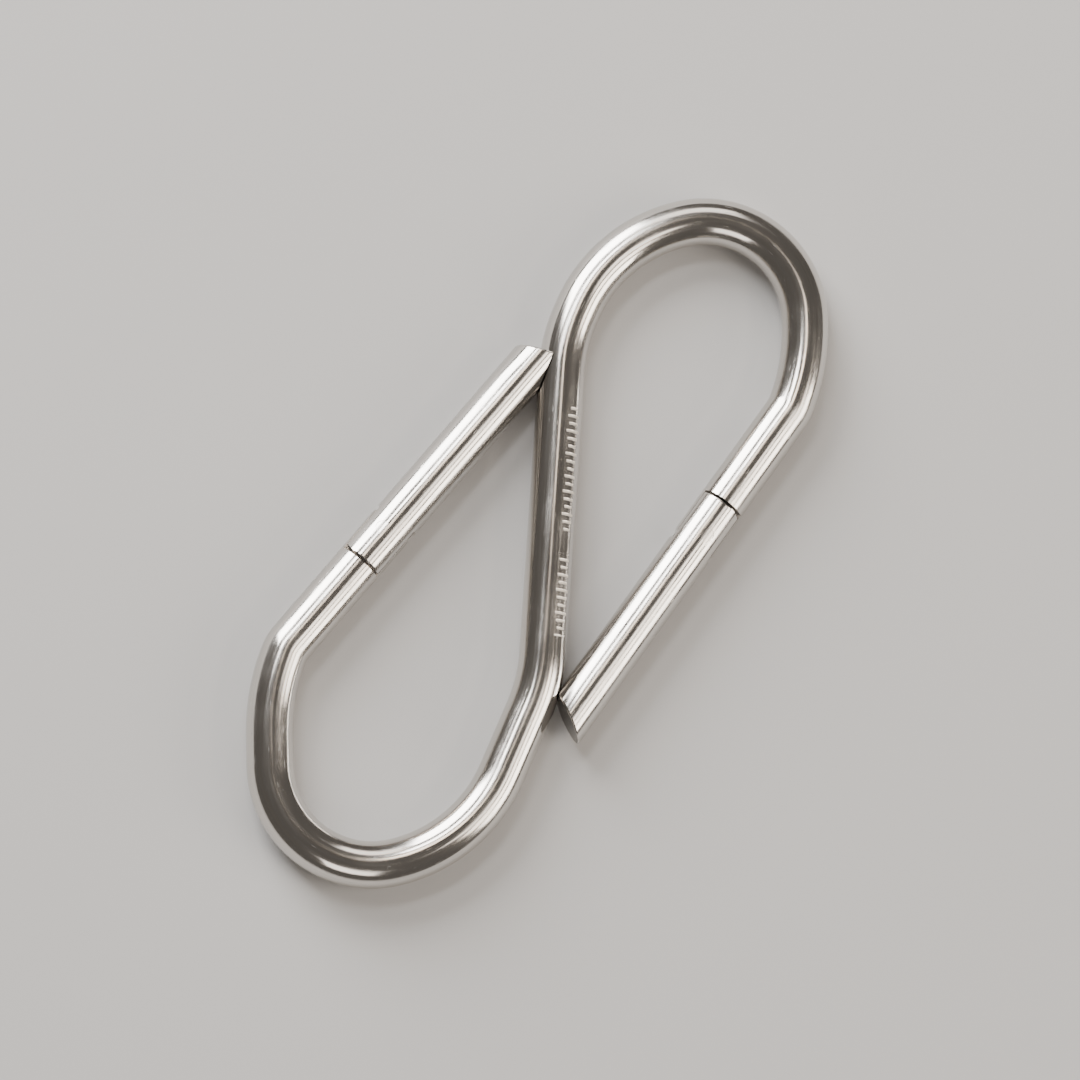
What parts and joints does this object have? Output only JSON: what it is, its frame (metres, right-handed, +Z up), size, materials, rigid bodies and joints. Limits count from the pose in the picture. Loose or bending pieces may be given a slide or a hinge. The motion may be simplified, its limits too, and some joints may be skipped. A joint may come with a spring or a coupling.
{
  "type": "double gate key clip",
  "caption": "Flat S-shaped key clip bent from round stainless rod: a larger belt loop and a key loop, each shut by a sprung straight gate that swings outwards.",
  "frame": {"origin": "middle of the clip's outline, at the underside of the flat rod shape", "axes": "+X along the clip from the belt loop to the key loop, +Y across it towards the belt gate, +Z up out of the flat shape, along both hinge pins"},
  "size_m": [0.0606, 0.023, 0.0035],
  "materials": {
    "rod_steel": "polished round stainless rod with fine drawing lines",
    "gate_steel": "polished round stainless rod with fine drawing lines",
    "pin_steel": "hardened pin dressed flush and polished with the gate",
    "plunger_steel": "turned steel, lightly oiled",
    "spring_steel": "drawn spring wire"
  },
  "bodies": {
    "frame": {"rod_frame": "rod_steel"},
    "belt_gate": {"belt_gate": "gate_steel", "belt_gate_pin": "pin_steel", "belt_gate_spring": "spring_steel"},
    "belt_plunger": {"belt_gate_plunger": "plunger_steel"},
    "key_gate": {"key_gate": "gate_steel", "key_gate_pin": "pin_steel", "key_gate_spring": "spring_steel"},
    "key_plunger": {"key_gate_plunger": "plunger_steel"}
  },
  "joints": [
    {"name": "belt_gate_hinge", "type": "hinge", "parent": "frame", "child": "belt_gate", "pos_m": [-0.00691, 0.00971, 0.00175], "axis": [0, 0, 1], "range_deg": [0, 34], "stiffness_Nm_per_rad": 0.00074, "springref_deg": -77.35},
    {"name": "belt_plunger_slide", "type": "slide", "parent": "belt_gate", "child": "belt_plunger", "axis": [0.9991, -0.0419, 0], "range_m": [0, 0.0003], "deforming": ["belt_gate_spring"]},
    {"name": "key_gate_hinge", "type": "hinge", "parent": "frame", "child": "key_gate", "pos_m": [0.00778, -0.0095, 0.00175], "axis": [0, 0, 1], "range_deg": [0, 34], "stiffness_Nm_per_rad": 0.00074, "springref_deg": -77.35},
    {"name": "key_plunger_slide", "type": "slide", "parent": "key_gate", "child": "key_plunger", "axis": [-0.9993, -0.0384, 0], "range_m": [0, 0.0003], "deforming": ["key_gate_spring"]}
  ],
  "couplings": [
    {"joint": "belt_plunger_slide", "follows": "belt_gate_hinge", "m_per_rad": 0.0005},
    {"joint": "key_plunger_slide", "follows": "key_gate_hinge", "m_per_rad": 0.0005}
  ]
}
